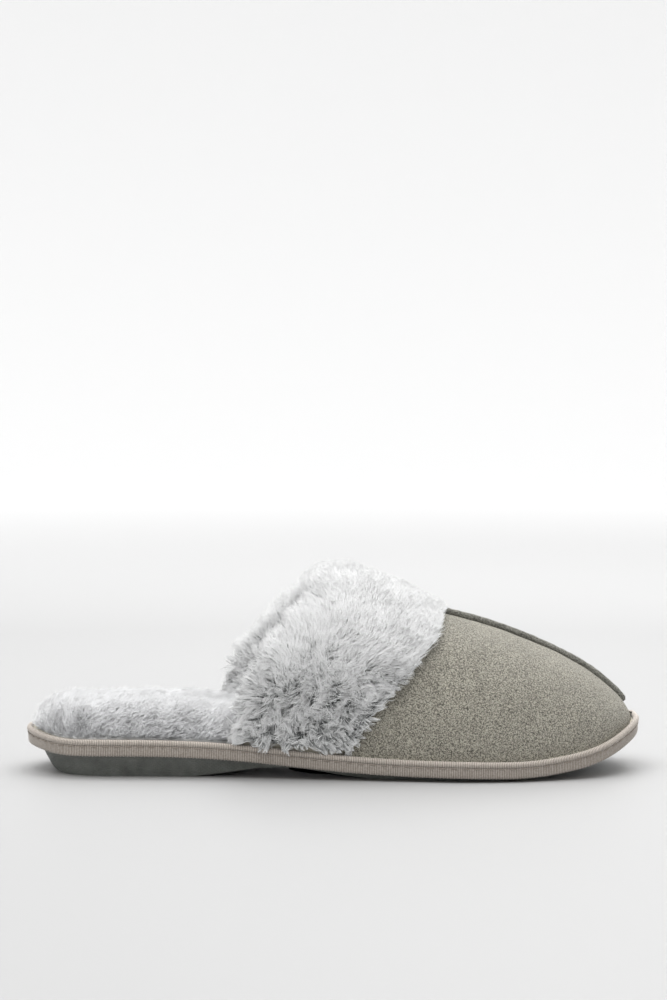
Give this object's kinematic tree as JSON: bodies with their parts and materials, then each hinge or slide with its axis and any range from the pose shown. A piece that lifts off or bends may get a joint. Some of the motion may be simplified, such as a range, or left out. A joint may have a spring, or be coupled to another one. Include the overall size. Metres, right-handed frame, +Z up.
{
  "type": "house slipper",
  "caption": "Backless house slipper with a plush footbed, a suede-look vamp with a piped centre seam, a deep fur cuff, a ribbed edge tape and a low moulded sole.",
  "frame": {"origin": "middle of the footprint, on the floor", "axes": "+X towards the toe, +Y towards the inner (medial) side of this right-foot slipper, +Z up"},
  "size_m": [0.2704, 0.096, 0.0911],
  "materials": {
    "sole_rubber": "matte",
    "foam": "matte",
    "board": "matte",
    "plush": "matte",
    "ribbed_tape": "satin",
    "cord": "matte",
    "thread": "satin",
    "faux_suede": "matte",
    "piping_suede": "matte",
    "faux_fur": "matte"
  },
  "bodies": {
    "root": {"outsole": "sole_rubber", "heel_wedge": "foam", "insole_board": "board", "insole_foam": "foam", "insole_plush": "plush", "edge_tape": "ribbed_tape", "welt_piping_cover": "ribbed_tape", "welt_piping_cord": "cord", "welt_stitches": "thread", "vamp_panel_lateral": "faux_suede", "vamp_panel_medial": "faux_suede", "vamp_foam_lateral": "foam", "vamp_foam_medial": "foam", "vamp_lining_lateral": "plush", "vamp_lining_medial": "plush", "centre_piping_cover": "piping_suede", "centre_piping_cord": "cord", "fur_cuff": "faux_fur", "throat_tape": "cord"}
  },
  "joints": []
}
